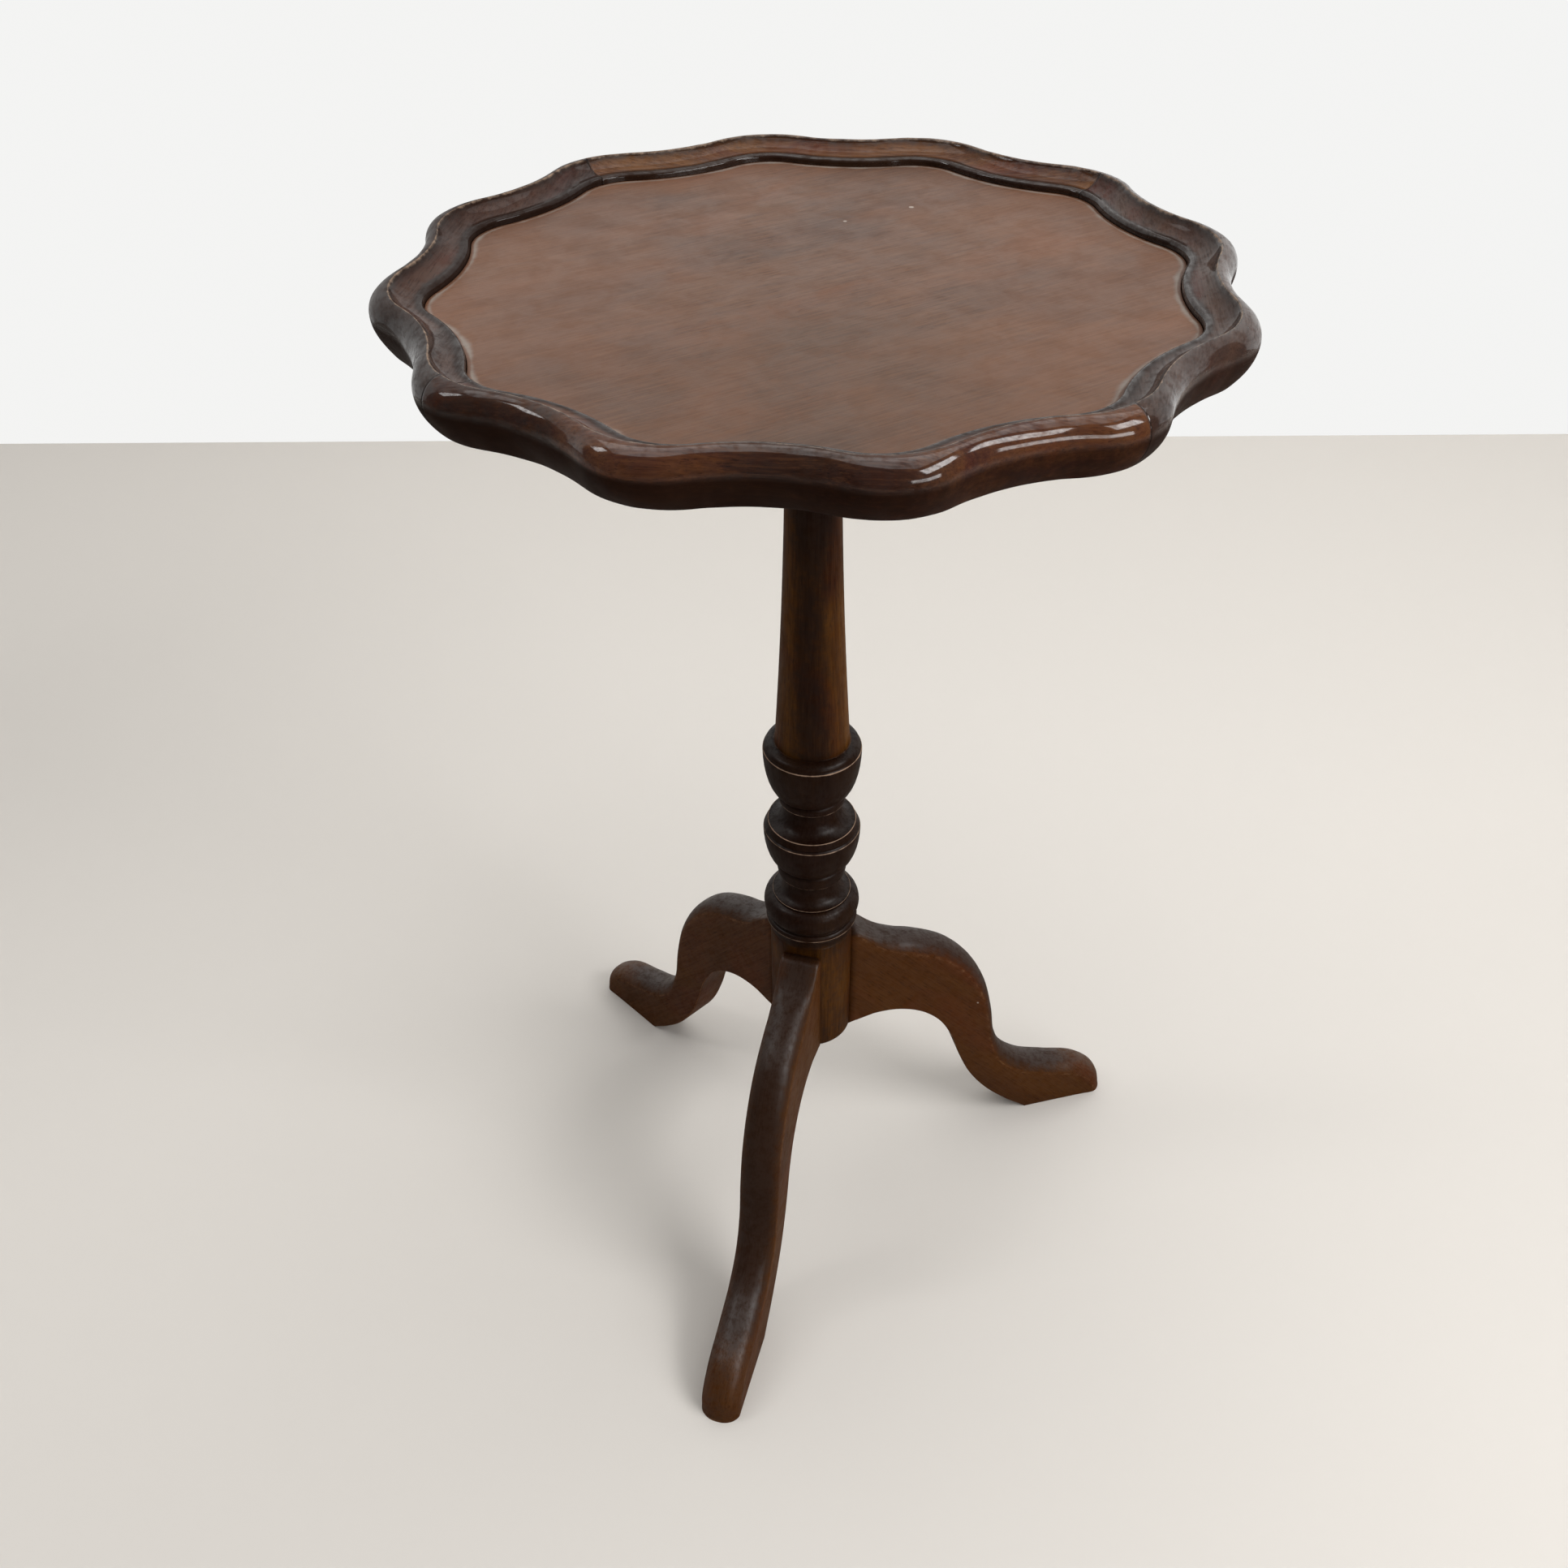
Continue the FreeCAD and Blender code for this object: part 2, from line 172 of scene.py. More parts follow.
class Mahogany:
    """Old polished mahogany, with its grain along the X axis of the turned coordinates."""

    def __init__(self, name, grain, shift, finish):
        self.material = bpy.data.materials.new(name)
        self.material.use_nodes = True
        self.shader = self.material.node_tree.nodes["Principled BSDF"]
        start = Tone(self.material.node_tree, None)
        place = start.node("ShaderNodeTexCoord", {}, {}, "Object")
        sockets = {"Vector": place, "Location": shift, "Rotation": grain.to_euler()}
        self.wood = start.node("ShaderNodeMapping", {}, sockets)
        wear_and_highlight, grime_and_shade, patina_and_shade, matt = (self.mark(mark) for mark in wood_marks)
        figure = self.wood.stretched(9.0).noise(11 * mm, 5.0, 0.6, 0.6)
        streak = self.wood.stretched(26.0).noise(1.0 * mm, 5.0, 0.65, 0.1)
        pores = self.wood.stretched(14.0).noise(0.5 * mm, 3.0, 0.6).between(0.55, 0.68)
        cloud = self.wood.stretched(1.8).noise(44 * mm, 6.0, 0.5, 0.3)
        blush = self.wood.stretched(2.5).noise(32 * mm, 5.0, 0.5, 0.6)
        rub = self.wood.noise(4 * mm, 5.0, 0.65)
        smear = self.wood.noise(16 * mm, 5.0, 0.55, 0.4)
        figured = finish["figure"] * figure.between(0.38, 0.64)
        tone = start.node(
            "ShaderNodeMix", {"data_type": "RGBA"},
            {0: figured, 6: finish["brown"], 7: finish["warm"]}, 2,
        )
        tone = tone.tint(finish["red"], 0.6 * blush.between(0.48, 0.68))
        tone = tone.tint(finish["dark"], finish["mottle"] * cloud.between(0.45, 0.66))
        tone = tone.tint(finish["warm"], finish["streak"] * streak.between(0.5, 0.62))
        tone = tone.tint(finish["dark"], finish["streak"] * (1.0 - streak).between(0.5, 0.62))
        tone = tone.tint(pore_tint, 0.6 * pores, "MULTIPLY")
        # Patina and painted shade darken the tone towards its darkest colour.
        darkening = (patina_and_shade * 1.2 + rub * 0.5 - 0.4).between(0.1, 0.75)
        tone = tone.tint(finish["patina_and_shade_tone"], darkening * 0.9)
        # Grime and painted shade in creases and recesses multiply the tone darker.
        tone = tone.tint(grime_and_shade_tint, grime_and_shade * 0.9, "MULTIPLY")
        # Pale lines, where polish is worn and where highlights are painted, take the pale tone and
        # lose coat.
        pale_wear_and_highlight = (wear_and_highlight * 1.3 + rub - 0.72).between(0.12, 0.7)
        self.tone = tone.tint(finish["wear_and_highlight_tone"], pale_wear_and_highlight * 0.8)
        rough = finish["rough"] + 0.16 * smear.between(0.35, 0.7) + 0.2 * pale_wear_and_highlight + 0.3 * matt
        height = smear * 0.8 + rub * 0.12 - pores * 0.03 + streak * 0.03
        bumps = {"Height": height, "Strength": 0.5, "Distance": 0.6 * mm}
        even = 0.35 + 0.65 * (rub * 0.6 + streak * 0.4).between(0.36, 0.58)
        self.feed("Base Color", self.tone)
        self.feed("Roughness", rough)
        self.feed("Coat Weight", finish["polish"] * even * (1.0 - pale_wear_and_highlight) * (1.0 - matt))
        self.feed("Normal", start.node("ShaderNodeBump", {}, bumps))
        self.shader.inputs["Coat Roughness"].default_value = finish["coat_rough"]
        self.shader.inputs["Specular IOR Level"].default_value = finish["sheen"]
        self.shader.inputs["Specular Tint"].default_value = sheen_tint

    def mark(self, name):
        """How strongly a mark painted on the piece shows at each place."""
        start = Tone(self.material.node_tree, None)
        return start.node("ShaderNodeAttribute", {"attribute_name": name}, {}, "Fac")

    def flecks(self, spread, size, long):
        """Small scattered marks, some way apart, round or drawn out along the grain."""
        sockets = {"Vector": self.wood.stretched(long), "Scale": 1 / spread}
        nearest = self.wood.node("ShaderNodeTexVoronoi", {}, sockets, "Distance")
        sizes = self.wood.noise(spread, 2.0)
        return 1.0 - (nearest * (spread / size) - 3.0 * (sizes - 0.5)).between(0.5, 1.0)

    def feed(self, socket, tone):
        """Links a tone to one of the finish's own sockets."""
        self.material.node_tree.links.new(tone.socket, self.shader.inputs[socket])


def quarter(start, end, level_first, steps=9):
    """Quarter of an ellipse that leaves level and ends upright, or leaves upright and ends level."""
    run = end[0] - start[0]
    rise = end[1] - start[1]
    points = []
    for step in range(1, steps + 1):
        swing = math.pi / 2 * step / steps
        if level_first:
            points.append((start[0] + run * math.sin(swing), start[1] + rise * (1 - math.cos(swing))))
        else:
            points.append((start[0] + run * (1 - math.cos(swing)), start[1] + rise * math.sin(swing)))
    return points


def bow(start, middle, end, steps):
    """Curve that leaves towards the middle point and arrives from it."""
    start, middle, end = Vector(start), Vector(middle), Vector(end)
    points = []
    for step in range(1, steps + 1):
        share = step / steps
        points.append(tuple(start.lerp(middle, share).lerp(middle.lerp(end, share), share)))
    return points


def straight(start, end, longest):
    """Points along a line, no further apart than the longest step."""
    steps = max(1, math.ceil(math.dist(start, end) / longest))
    return [tuple(Vector(start).lerp(Vector(end), step / steps)) for step in range(1, steps + 1)]


def edged(outline, margin):
    """The outline with one more point close on each side of every sharp corner."""
    sharp_turn = 0.5
    points = []
    for number, here in enumerate(outline):
        before = outline[max(number - 1, 0)]
        after = outline[min(number + 1, len(outline) - 1)]
        came, goes = Vector(here) - Vector(before), Vector(after) - Vector(here)
        sharp = came.length > 0 and goes.length > 0 and abs(came.angle(goes)) > sharp_turn
        if sharp and came.length > 2 * margin:
            points.append(tuple(Vector(here).lerp(Vector(before), margin / came.length)))
        points.append(here)
        if sharp and goes.length > 2 * margin:
            points.append(tuple(Vector(here).lerp(Vector(after), margin / goes.length)))
    return points


def lathe(bm, outline, steps):
    """Turns an outline of reach and height about the column's axis."""
    verts = [bm.verts.new((reach, 0, height)) for reach, height in outline]
    edges = [bm.edges.new(pair) for pair in zip(verts, verts[1:])]
    bmesh.ops.spin(
        bm, geom=verts + edges, cent=(0, 0, 0), axis=(0, 0, 1), angle=math.tau, steps=steps,
        use_merge=True,
    )
    bmesh.ops.remove_doubles(bm, verts=bm.verts, dist=0.01 * mm)
    bmesh.ops.recalc_face_normals(bm, faces=bm.faces)


def soften(bm, offset, sharpest=0.5, segments=3):
    """Takes the sharpness off every edge that turns by more than an angle."""
    sharp = [edge for edge in bm.edges if edge.is_manifold and edge.calc_face_angle() > sharpest]
    bmesh.ops.bevel(
        bm, geom=sharp, offset=offset, offset_type="OFFSET", segments=segments, profile=0.5,
        affect="EDGES", clamp_overlap=True, material=-1,
    )


def weathered(bm, full_turn):
    """Marks each vertex with its wear where edges stand out, and its grime and painted shade where
    they turn in.
    """
    least_turn = 0.14
    spread_share = 0.4
    wear_and_highlight, grime_and_shade, patina_and_shade, matt = (bm.verts.layers.float.new(mark) for mark in wood_marks)
    bm.normal_update()
    for edge in bm.edges:
        turn = edge.calc_face_angle_signed(0)
        layer = wear_and_highlight if turn > 0 else grime_and_shade
        level = min(1.0, max(0.0, (abs(turn) - least_turn) / full_turn))
        for vert in edge.verts:
            vert[layer] = max(vert[layer], level)
    for layer in (wear_and_highlight, grime_and_shade):
        beside = {
            vert: max(edge.other_vert(vert)[layer] for edge in vert.link_edges) for vert in bm.verts
        }
        for vert, level in beside.items():
            vert[layer] = max(vert[layer], spread_share * level)
    return wear_and_highlight, grime_and_shade, patina_and_shade, matt


def piece(name, bm, material, slot, *nodes):
    """Puts a finished mesh in the scene, in place of the solids that it stands for."""
    for face in bm.faces:
        face.smooth = len(face.verts) == 4
    mesh = bpy.data.meshes.new(name)
    bm.to_mesh(mesh)
    bm.free()
    mesh.materials.append(material)
    made = bpy.data.objects.new(name, mesh)
    bpy.context.scene.collection.objects.link(made)
    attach(made, "root")
    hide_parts(*nodes)


column_outline = [(0.0, recess_top), (drum_radius, recess_top), (drum_radius, drum_top)]
for kind, radius_share, height_share in column_turnings:
    begin = column_outline[-1]
    end = (swell_radius * radius_share, drum_top + turning_height * height_share)
    if kind == "line":
        column_outline += straight(begin, end, column_stride)
    else:
        column_outline += quarter(begin, end, kind == "scoop")
shaft_foot = drum_top + turning_height
column_outline += straight(column_outline[-1], (shaft_foot_radius, shaft_foot), column_stride)
shaft_bend = (shaft_top_radius, (shaft_foot + bearer_bottom) / 2)
shaft_end = (shaft_top_radius, bearer_bottom)
column_outline += bow(column_outline[-1], shaft_bend, shaft_end, shaft_steps)
column_outline += [(tenon_radius, bearer_bottom), (tenon_radius, panel_bottom), (0.0, panel_bottom)]

column_mesh = bmesh.new()
lathe(column_mesh, edged(column_outline, arris_margin), column_steps)
soften(column_mesh, turned_arris)
drum = bmesh.new()
bmesh.ops.create_circle(
    drum, cap_ends=True, segments=column_steps, radius=drum_radius,
    matrix=Matrix.Translation((0, 0, drum_foot)),
)
for angle in leg_angles.values():
    toward = Vector((math.cos(angle), math.sin(angle), 0))
    bmesh.ops.bisect_plane(
        drum, geom=drum.verts[:] + drum.edges[:] + drum.faces[:], plane_co=toward * flat_reach,
        plane_no=toward, clear_outer=True,
    )
raised = bmesh.ops.extrude_face_region(drum, geom=drum.faces[:])["geom"]
raised_verts = [part for part in raised if isinstance(part, bmesh.types.BMVert)]
drum_rise = recess_top + drum_overlap - drum_foot
bmesh.ops.translate(drum, verts=raised_verts, vec=(0, 0, drum_rise))
bmesh.ops.recalc_face_normals(drum, faces=drum.faces)
foot_edges = [
    edge for edge in drum.edges if max(vert.co.z for vert in edge.verts) < drum_foot + drum_round / 2
]
bmesh.ops.bevel(
    drum, geom=foot_edges, offset=drum_round, offset_type="OFFSET", segments=4, profile=0.5,
    affect="EDGES", clamp_overlap=True, material=-1,
)
for height in drum_cuts:
    bmesh.ops.bisect_plane(
        drum, geom=drum.verts[:] + drum.edges[:] + drum.faces[:], plane_co=(0, 0, height),
        plane_no=(0, 0, 1),
    )
drum_copy = bpy.data.meshes.new("drum")
drum.to_mesh(drum_copy)
drum.free()
column_mesh.from_mesh(drum_copy)
bpy.data.meshes.remove(drum_copy)
# Pale arris lines, partly wear and partly painted highlight, each with its shares of radius and
# height, and how pale it is.
worn_and_highlit_arrises = (
    (0.962, 0.043, 0.55), (0.82, 0.195, 0.8), (0.695, 0.3, 0.6), (0.975, 0.55, 0.6),
    (0.89, 0.59, 0.8), (0.67, 0.7, 0.6), (0.965, 0.965, 0.8),
)
arris_line_width = 0.55 * mm
shaded_front = math.radians(-78)
shaft_middle = 390 * mm
shaft_front_shade, shaft_top_shade = 0.65, 0.8
turning_stain, turning_top_stain = 0.78, 0.22
drum_stain = 0.45
column_dullness, column_top_gloss = 0.88, 0.5
drum_shade, drum_shade_reach = 0.8, 9 * mm
wear_and_highlight, grime_and_shade, patina_and_shade, matt = weathered(column_mesh, 0.5)
for vert in column_mesh.verts:
    spot = Vector((vert.co.xy.length, vert.co.z - drum_top))
    vert[wear_and_highlight] = 0.0
    for radius_share, height_share, level in worn_and_highlit_arrises:
        arris = Vector((swell_radius * radius_share, turning_height * height_share))
        vert[wear_and_highlight] = max(vert[wear_and_highlight], level * (1 - (spot - arris).length / arris_line_width))
    facing_up = max(0.0, vert.normal.z)
    if spot.y > turning_height:
        # Painted shade on the shaft: darker on its front and up towards the table top.
        facing = max(0.0, math.cos(math.atan2(vert.co.y, vert.co.x) - shaded_front))
        up_shaft = max(0.0, (vert.co.z - shaft_middle) / (bearer_bottom - shaft_middle))
        vert[patina_and_shade] = shaft_front_shade * facing**2 + shaft_top_shade * up_shaft
    elif spot.y > 0:
        vert[patina_and_shade] = turning_stain + turning_top_stain * facing_up
    else:
        vert[patina_and_shade] = drum_stain
        # Painted shade on the drum, darkest just under the turning above it.
        vert[grime_and_shade] = drum_shade * max(0.0, 1 + spot.y / drum_shade_reach)
    vert[matt] = column_dullness - column_top_gloss * facing_up**2
upright = Matrix.Rotation(math.radians(90), 3, "Y")
column_finish = {
    "brown": (0.05, 0.0165, 0.0025, 1.0), "warm": (0.125, 0.046, 0.0045, 1.0),
    "red": (0.065, 0.0115, 0.0025, 1.0), "dark": (0.015, 0.005, 0.002, 1.0),
    "patina_and_shade_tone": (0.0065, 0.0022, 0.0013, 1.0), "wear_and_highlight_tone": (0.4, 0.27, 0.19, 1.0),
    "figure": 0.6, "streak": 0.22, "mottle": 0.5,
    "rough": 0.42, "polish": 0.8, "coat_rough": 0.33, "sheen": 0.04,
}
column_wood = Mahogany("column_mahogany", upright, (0.0, 0.0, 0.0), column_finish)
piece("turned_column", column_mesh, column_wood.material, "column_wood", "column")

# Legs: three cabriole legs sawn from mahogany board, with flat sides, crowned tops and flat soles.
# Each has a dovetail tongue that slides up into the drum, and a short ledge on top beside it.
leg_reach = 180.2 * mm
leg_top = 172.0 * mm
crown = 0.38 * leg_thickness
leg_edge = 0.7 * mm
fade_length = 26 * mm
least_crown_share = 0.2
crown_steps = 8
crown_swing = math.radians(78)
leg_steps = 8
sole_shares = (0.8, 0.88, 0.94)
root_lean = 0.35
root_margin = 0.5 * mm
side_facing = 0.97
flat_facing = 0.999
crown_arris_wear_and_highlight, other_wear = 0.36, 0.5
crown_stain, crown_side_stain = 0.85, 0.45
toe_length, toe_stain_share = 40 * mm, 0.45
leg_dullness, leg_top_gloss = 0.86, 0.8
leg_grain = math.radians(-48)
chip_tint = (0.42, 0.36, 0.3, 1.0)
leg_finish = {
    "brown": (0.056, 0.018, 0.003, 1.0), "warm": (0.078, 0.0275, 0.0045, 1.0),
    "red": (0.07, 0.016, 0.004, 1.0), "dark": (0.03, 0.0098, 0.003, 1.0),
    "patina_and_shade_tone": (0.0185, 0.0078, 0.0042, 1.0), "wear_and_highlight_tone": (0.22, 0.11, 0.055, 1.0),
    "figure": 0.45, "streak": 0.22, "mottle": 0.5,
    "rough": 0.42, "polish": 0.9, "coat_rough": 0.4, "sheen": 0.04,
}
# Lines of the leg's top and under side, in shares of its reach and of the height of its root.
leg_lines = {
    "top": (
        (0.03, 1.0), (0.105, 0.945), (0.235, 0.905), (0.345, 0.85), (0.43, 0.765),
        (0.49, 0.66), (0.525, 0.535), (0.55, 0.395), (0.595, 0.295), (0.675, 0.225),
        (0.79, 0.18), (0.915, 0.135), (0.98, 0.075), (1.0, 0.0),
    ),
    "under": (
        (0.69, 0.0), (0.595, 0.125), (0.515, 0.26), (0.455, 0.405), (0.41, 0.57),
        (0.37, 0.755), (0.32, 0.89), (0.255, 0.98), (0.175, 1.03), (0.085, 1.035), (0.0, 1.0),
    ),
}


def skin(bm, outlines):
    """Draws a grid over a row of closed outlines that all have the same number of points."""
    around = len(outlines[0])
    bmesh.ops.create_grid(bm, x_segments=around, y_segments=len(outlines) - 1, size=1.0)
    spots = [spot for outline in outlines for spot in (*outline, outline[0])]
    for vert, spot in zip(bm.verts, spots):
        vert.co = spot


def seal(bm):
    """Joins the seam of a skin and closes its open ends."""
    bmesh.ops.remove_doubles(bm, verts=bm.verts, dist=0.001 * mm)
    bmesh.ops.edgeloop_fill(bm, edges=[edge for edge in bm.edges if edge.is_boundary])
    bmesh.ops.recalc_face_normals(bm, faces=bm.faces)


def flowing(points, steps):
    """Smooth curve through the points, each stretch of it in the same number of steps."""
    slopes = []
    for number, here in enumerate(points):
        before = points[max(number - 1, 0)]
        after = points[min(number + 1, len(points) - 1)]
        lengths = ((here - before).length, (after - here).length)
        if lengths[0] == 0 or lengths[1] == 0:
            slopes.append((after - before).normalized())
        else:
            came, goes = (here - before) / lengths[0], (after - here) / lengths[1]
            slopes.append((came * lengths[1] + goes * lengths[0]) / sum(lengths))
    curve = [points[0]]
    for number, (here, after) in enumerate(zip(points, points[1:])):
        reach = (after - here).length
        for step in range(1, steps + 1):
            share = step / steps
            curve.append(
                here * (2 * share**3 - 3 * share**2 + 1)
                + slopes[number] * reach * (share**3 - 2 * share**2 + share)
                + after * (3 * share**2 - 2 * share**3)
                + slopes[number + 1] * reach * (share**3 - share**2)
            )
    return curve


def leg_section(top, under, rounding):
    """Outline across the leg, from its crowned top down both flat sides to its eased lower edges."""
    half = leg_thickness / 2
    down = (under - top).normalized()
    height = (under - top).length
    radius = min(rounding, 0.8 * height)
    ease = min(leg_edge, 0.1 * height)
    right_side = [(0.0, 0.0)]
    round_width = min(half * rounding / crown, half - leg_edge)
    for step in range(crown_steps + 1):
        swing = crown_swing * step / crown_steps
        across = half - round_width * (1 - math.sin(swing) / math.sin(crown_swing))
        right_side.append((across, radius - radius * math.cos(swing)))
    crown_depth = right_side[-1][1]
    inner = crown_depth + 0.1 * (height - crown_depth)
    right_side += [
        (half, inner), (half, (inner + height) / 2), (half, height - 2 * ease), (half, height - ease),
        (half - 0.3 * ease, height - 0.3 * ease), (half - ease, height), (half - 2 * ease, height),
    ]
    left_side = [(-across, depth) for across, depth in reversed(right_side[1:])]
    spots = [(across, top + down * depth) for across, depth in right_side + left_side]
    return [(spot.x, across, spot.y) for across, spot in spots]


for name, angle in leg_angles.items():
    spread = leg_reach - flat_reach
    top_spots = [
        Vector((flat_reach + spread * share, leg_top * height))
        for share, height in leg_lines["top"]
    ]
    under_spots = [
        Vector((flat_reach + spread * share, drum_foot * height))
        for share, height in leg_lines["under"]
    ]
    top_line = flowing(top_spots, leg_steps)
    under_line = flowing(under_spots[::-1], leg_steps)
    under_line[0] = under_line[0].lerp(under_line[leg_steps], root_lean)
    for step in range(1, leg_steps):
        under_line[step] = under_line[0].lerp(under_line[leg_steps], step / leg_steps)
    sole = [under_line[-1], *(Vector((flat_reach + spread * share, 0)) for share in sole_shares)]
    for here, after in zip(sole, sole[1:]):
        under_line += [here.lerp(after, step / leg_steps) for step in range(1, leg_steps + 1)]
    top_line = [Vector((flat_reach, leg_top)), top_line[0] - Vector((leg_edge, 0)), *top_line]
    under_line = [Vector((flat_reach, drum_foot)), under_line[0] - Vector((leg_edge, 0)), *under_line]
    shoulder = top_line[2].x
    sections = []
    for top, under in zip(top_line, under_line):
        crown_share = min(1.0, max(least_crown_share, (top.x - shoulder) / fade_length))
        sections.append(leg_section(top, under, crown * crown_share))
    leg_mesh = bmesh.new()
    skin(leg_mesh, sections)
    seal(leg_mesh)
    wear_and_highlight, grime_and_shade, patina_and_shade, matt = weathered(leg_mesh, 0.6)
    for vert in leg_mesh.verts:
        # A pale line along the upper side arris of the crown: wear and painted highlight.
        on_arris = side_facing < abs(vert.normal.y) < flat_facing and vert.normal.z > 0
        vert[wear_and_highlight] = crown_arris_wear_and_highlight if on_arris else other_wear * vert[wear_and_highlight]
        vert[wear_and_highlight] = vert[wear_and_highlight] if vert.co.x > shoulder + root_margin else 0.0
        across_share = 2 * abs(vert.co.y) / leg_thickness
        on_top = abs(vert.normal.y) < side_facing and vert.normal.z > -0.2
        vert[patina_and_shade] = crown_stain - crown_side_stain * across_share**2 if on_top else 0.0
        vert[patina_and_shade] *= min(1.0, max(toe_stain_share, (leg_reach - vert.co.x) / toe_length))
        vert[matt] = leg_dullness - leg_top_gloss * max(0.0, vert.normal.z) ** 2
    leg_turn = Matrix.Rotation(angle, 3, "Z")
    bmesh.ops.rotate(leg_mesh, verts=leg_mesh.verts, cent=(0, 0, 0), matrix=leg_turn)
    grain = Matrix.Rotation(leg_grain, 3, "Y") @ leg_turn.transposed()
    leg_wood = Mahogany("leg_mahogany_" + name, grain, (angle, 0.3 * angle, 0.0), leg_finish)
    chips = leg_wood.flecks(22 * mm, 0.6 * mm, 1.5)
    leg_wood.feed("Base Color", leg_wood.tone.tint(chip_tint, chips * 0.7))
    piece("cabriole_leg_" + name, leg_mesh, leg_wood.material, "leg_wood", "leg_" + name)

# Bearer: a turned mahogany disc, left unpolished, that carries the top. The column's wedged tenon
# goes up through it, and four slotted steel screws hold it to the panel.
raw_finish = {
    "brown": (0.1, 0.055, 0.032, 1.0), "warm": (0.17, 0.09, 0.05, 1.0),
    "red": (0.15, 0.07, 0.04, 1.0), "dark": (0.06, 0.035, 0.022, 1.0),
    "patina_and_shade_tone": (0.08, 0.05, 0.035, 1.0), "wear_and_highlight_tone": (0.25, 0.15, 0.1, 1.0),
    "figure": 0.8, "streak": 0.5, "mottle": 0.6,
    "rough": 0.6, "polish": 0.0, "coat_rough": 0.3, "sheen": 0.2,
}
steel_grey = (0.42, 0.39, 0.36, 1.0)
steel_brown = (0.2, 0.15, 0.12, 1.0)
board_grain = Matrix.Rotation(math.radians(-47), 3, "Z")
raw_wood = Mahogany("raw_mahogany", board_grain, (0.4, 0.0, 0.0), raw_finish)
steel = bpy.data.materials.new("dull_steel")
steel.use_nodes = True
steel_shader = steel.node_tree.nodes["Principled BSDF"]
steel_shader.inputs["Metallic"].default_value = 1.0
steel_start = Tone(steel.node_tree, None)
steel_spots = steel_start.node("ShaderNodeTexCoord", {}, {}, "Object").noise(0.9 * mm, 4.0, 0.6)
steel_tone = steel_start.node(
    "ShaderNodeMix", {"data_type": "RGBA"},
    {0: steel_spots.between(0.45, 0.7), 6: steel_grey, 7: steel_brown}, 2,
)
steel.node_tree.links.new(steel_tone.socket, steel_shader.inputs["Base Color"])
steel_rough = 0.35 + 0.3 * steel_spots
steel.node_tree.links.new(steel_rough.socket, steel_shader.inputs["Roughness"])
bearer_materials = {
    "bearer_block": raw_wood.material, "tenon_wedge": raw_wood.material, "bearer_screws": steel,
}
for node, material in bearer_materials.items():
    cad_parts[node].data.materials.clear()
    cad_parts[node].data.materials.append(material)

# Rim: four moulded lengths of mahogany, sawn to the scalloped line and butted at four lobe peaks.
# A hollow cove runs up from a small bead to the crest, and a roll turns over it to the outer edge.
# The polish is the darkest and glossiest here, rubbed pale along the crest, with painted shade on
# the under face of the roll and at both edges of the cove.
table_height = 520.0 * mm
crest_radius = 150.0 * mm
lobe_depth = 8.5 * mm
first_joint = math.radians(54.3)
lobe_half = math.pi / 12
roll_width = 8.0 * mm
hollow_roll_width = 6.2 * mm
roll_drop = 8.5 * mm
under_tuck = 5.5 * mm
cove_width = 9.6 * mm
cove_drop = 5.0 * mm
cove_hollow = 1.6 * mm
bead_width = 1.9 * mm
quirk_depth = 1.5 * mm
ledge_width = 5.0 * mm
panel_top = 512.0 * mm
rim_bottom = 499.5 * mm
lobe_steps = 36
roll_steps, under_steps, bead_steps, cove_steps = 14, 10, 7, 12
crest_round_share, edge_round_share = 0.34, 0.28
cove_lean = 0.88
joint_line = 0.8 * mm
joint_grime = 0.6
rim_ease = 0.15 * mm
wall_inset = cove_width + bead_width
rim_finish = {
    "red": (0.075, 0.0125, 0.0065, 1.0), "dark": (0.0115, 0.0044, 0.003, 1.0),
    "patina_and_shade_tone": (0.0105, 0.0042, 0.0025, 1.0), "wear_and_highlight_tone": (0.4, 0.28, 0.2, 1.0),
    "figure": 0.65, "streak": 0.22, "mottle": 0.75,
    "rough": 0.34, "polish": 0.95, "coat_rough": 0.085, "sheen": 0.05,
}
rim_tones = {
    "back": {"brown": (0.074, 0.028, 0.01, 1.0), "warm": (0.15, 0.06, 0.016, 1.0)},
    "left": {"brown": (0.036, 0.0165, 0.012, 1.0), "warm": (0.062, 0.029, 0.0185, 1.0)},
    "front": {"brown": (0.05, 0.0142, 0.008, 1.0), "warm": (0.125, 0.044, 0.012, 1.0)},
    "right": {"brown": (0.036, 0.017, 0.012, 1.0), "warm": (0.066, 0.032, 0.02, 1.0)},
}
# Below this line the roll's under face takes painted shade and loses its polish.
roll_shade_top = table_height - roll_drop + 1.5 * mm
roll_shade_height = 2 * mm
darkened_side = math.radians(-140)
dull_side = math.radians(180)
side_dullness = 0.7
honey_side = math.radians(-96)
honey_half = math.pi / 16
honey_strength = 0.8
roll_stain, roll_shade_and_darkening = 0.3, 0.3
cove_stain, cove_edge_shade = 0.1, 0.7
bead_dullness, cove_dullness = 0.1, 0.5
crest_wear, crest_worn_width = 0.5, 1.2 * mm
hand_wave = 0.22 * mm
hand_wave_length = 11 * mm
hand_wave_shift = Vector((7, 3, 5))


